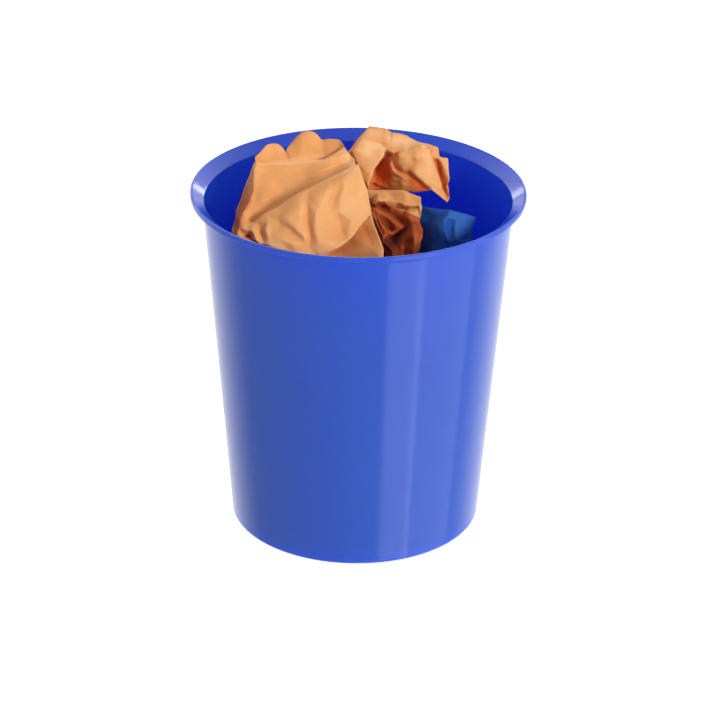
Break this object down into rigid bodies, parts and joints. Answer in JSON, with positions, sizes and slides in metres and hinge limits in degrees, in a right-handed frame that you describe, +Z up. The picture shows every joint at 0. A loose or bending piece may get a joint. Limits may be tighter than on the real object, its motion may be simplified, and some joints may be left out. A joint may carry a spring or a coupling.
{
  "type": "wastebasket",
  "caption": "Round tapered plastic office wastebasket with a flared rim, holding crumpled sheets of kraft, brown and blue paper.",
  "frame": {"origin": "on the table, at the centre of the basket's foot ring", "axes": "+Z up along the basket's axis, +X to the right and +Y to the back as seen from the front of the heap of paper"},
  "size_m": [0.296, 0.296, 0.342],
  "materials": {
    "blue_plastic": "gloss",
    "kraft_paper": "matte",
    "brown_paper": "matte",
    "blue_paper": "matte"
  },
  "bodies": {
    "basket": {"basket": "blue_plastic"},
    "large_kraft_sheet": {"large_kraft_sheet": "kraft_paper"},
    "rear_kraft_sheet": {"rear_kraft_sheet": "kraft_paper"},
    "small_brown_sheet": {"small_brown_sheet": "brown_paper"},
    "blue_sheet": {"blue_sheet": "blue_paper"}
  },
  "joints": [
    {"name": "large_kraft_lift_out", "type": "slide", "parent": "basket", "child": "large_kraft_sheet", "axis": [0, 0, 1], "range_m": [0, 0.36]},
    {"name": "rear_kraft_lift_out", "type": "slide", "parent": "basket", "child": "rear_kraft_sheet", "axis": [0, 0, 1], "range_m": [0, 0.36]},
    {"name": "small_brown_lift_out", "type": "slide", "parent": "basket", "child": "small_brown_sheet", "axis": [0, 0, 1], "range_m": [0, 0.36]},
    {"name": "blue_lift_out", "type": "slide", "parent": "basket", "child": "blue_sheet", "axis": [0, 0, 1], "range_m": [0, 0.36]}
  ]
}
